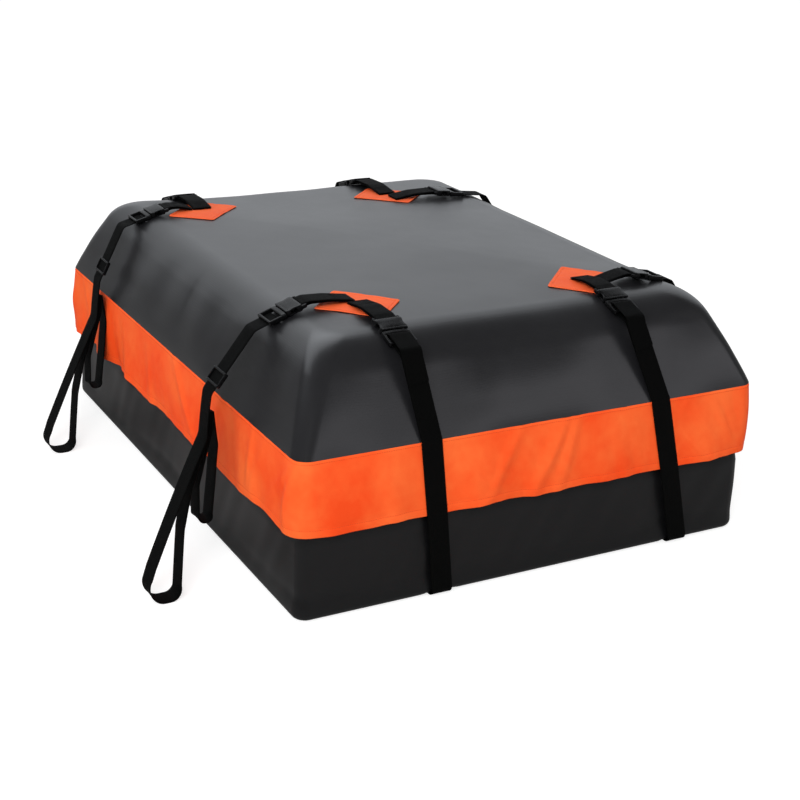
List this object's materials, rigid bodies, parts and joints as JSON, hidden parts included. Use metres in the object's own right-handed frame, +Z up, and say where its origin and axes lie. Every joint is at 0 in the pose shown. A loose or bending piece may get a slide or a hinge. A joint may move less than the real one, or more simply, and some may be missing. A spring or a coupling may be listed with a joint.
{
  "type": "roof cargo bag",
  "caption": "Soft rectangular roof cargo bag with a zipped cover under an orange storm flap and buckled webbing straps with tie-down loops.",
  "frame": {"origin": "centre of the tub's flat bottom, on the surface that the bag lies on", "axes": "+Z up, +X across the bag to its right side, +Y along it from the front end to the back end"},
  "size_m": [1.2043, 1.166, 0.4602],
  "materials": {
    "tub_tarpaulin": "satin coated tarpaulin, near black",
    "cover_tarpaulin": "satin coated tarpaulin, dark grey",
    "flap_cloth": "orange coated cloth",
    "patch_cloth": "orange coated cloth, welded",
    "webbing": "black woven webbing",
    "buckle_plastic": "black moulded plastic",
    "zip_tape": "black zip tape with a moulded coil",
    "zip_metal": "dark painted metal"
  },
  "bodies": {
    "root": {"lower_tub": "tub_tarpaulin", "top_cover": "cover_tarpaulin", "storm_flap": "flap_cloth", "zip_chain": "zip_tape", "long_strap_left": "webbing", "patch_front_left": "patch_cloth", "anchor_end_front_left": "webbing", "socket_end_front_left": "buckle_plastic", "anchor_side_front_left": "webbing", "socket_side_front_left": "buckle_plastic", "side_strap_front_left": "webbing", "patch_back_left": "patch_cloth", "anchor_end_back_left": "webbing", "socket_end_back_left": "buckle_plastic", "anchor_side_back_left": "webbing", "socket_side_back_left": "buckle_plastic", "side_strap_back_left": "webbing", "long_strap_right": "webbing", "patch_front_right": "patch_cloth", "anchor_end_front_right": "webbing", "socket_end_front_right": "buckle_plastic", "anchor_side_front_right": "webbing", "socket_side_front_right": "buckle_plastic", "side_strap_front_right": "webbing", "patch_back_right": "patch_cloth", "anchor_end_back_right": "webbing", "socket_end_back_right": "buckle_plastic", "anchor_side_back_right": "webbing", "socket_side_back_right": "buckle_plastic", "side_strap_back_right": "webbing"},
    "slider_left": {"zip_slider_left": "zip_metal", "zip_pull_left": "webbing"},
    "plug_end_front_left": {"plug_end_front_left": "buckle_plastic"},
    "plug_side_front_left": {"plug_side_front_left": "buckle_plastic"},
    "tri_glide_front_left": {"tri_glide_front_left": "buckle_plastic"},
    "plug_end_back_left": {"plug_end_back_left": "buckle_plastic"},
    "plug_side_back_left": {"plug_side_back_left": "buckle_plastic"},
    "tri_glide_back_left": {"tri_glide_back_left": "buckle_plastic"},
    "slider_right": {"zip_slider_right": "zip_metal", "zip_pull_right": "webbing"},
    "plug_end_front_right": {"plug_end_front_right": "buckle_plastic"},
    "plug_side_front_right": {"plug_side_front_right": "buckle_plastic"},
    "tri_glide_front_right": {"tri_glide_front_right": "buckle_plastic"},
    "plug_end_back_right": {"plug_end_back_right": "buckle_plastic"},
    "plug_side_back_right": {"plug_side_back_right": "buckle_plastic"},
    "tri_glide_back_right": {"tri_glide_back_right": "buckle_plastic"}
  },
  "joints": [
    {"name": "zip_slide_left", "type": "slide", "parent": "root", "child": "slider_left", "axis": [-1, 0, 0], "range_m": [0, 0.38]},
    {"name": "release_end_front_left", "type": "slide", "parent": "root", "child": "plug_end_front_left", "axis": [0, -0.9511, -0.309], "range_m": [0, 0.02]},
    {"name": "release_side_front_left", "type": "slide", "parent": "root", "child": "plug_side_front_left", "axis": [-0.9397, 0, -0.342], "range_m": [0, 0.02]},
    {"name": "adjust_front_left", "type": "slide", "parent": "root", "child": "tri_glide_front_left", "axis": [-0.6137, 0, -0.7896], "range_m": [-0.045, 0.008]},
    {"name": "release_end_back_left", "type": "slide", "parent": "root", "child": "plug_end_back_left", "axis": [0, 0.9511, -0.309], "range_m": [0, 0.02]},
    {"name": "release_side_back_left", "type": "slide", "parent": "root", "child": "plug_side_back_left", "axis": [-0.9613, 0, -0.2756], "range_m": [0, 0.02]},
    {"name": "adjust_back_left", "type": "slide", "parent": "root", "child": "tri_glide_back_left", "axis": [-0.4459, 0, -0.8951], "range_m": [-0.045, 0.008]},
    {"name": "zip_slide_right", "type": "slide", "parent": "root", "child": "slider_right", "axis": [1, 0, 0], "range_m": [0, 0.38]},
    {"name": "release_end_front_right", "type": "slide", "parent": "root", "child": "plug_end_front_right", "axis": [0, -0.9511, -0.309], "range_m": [0, 0.02]},
    {"name": "release_side_front_right", "type": "slide", "parent": "root", "child": "plug_side_front_right", "axis": [0.9848, 0, -0.1736], "range_m": [0, 0.02]},
    {"name": "adjust_front_right", "type": "slide", "parent": "root", "child": "tri_glide_front_right", "axis": [0.5857, 0, -0.8106], "range_m": [-0.045, 0.008]},
    {"name": "release_end_back_right", "type": "slide", "parent": "root", "child": "plug_end_back_right", "axis": [0, 0.9511, -0.309], "range_m": [0, 0.02]},
    {"name": "release_side_back_right", "type": "slide", "parent": "root", "child": "plug_side_back_right", "axis": [0.9945, 0, -0.1045], "range_m": [0, 0.02]},
    {"name": "adjust_back_right", "type": "slide", "parent": "root", "child": "tri_glide_back_right", "axis": [0.5781, 0, -0.8159], "range_m": [-0.045, 0.008]}
  ]
}
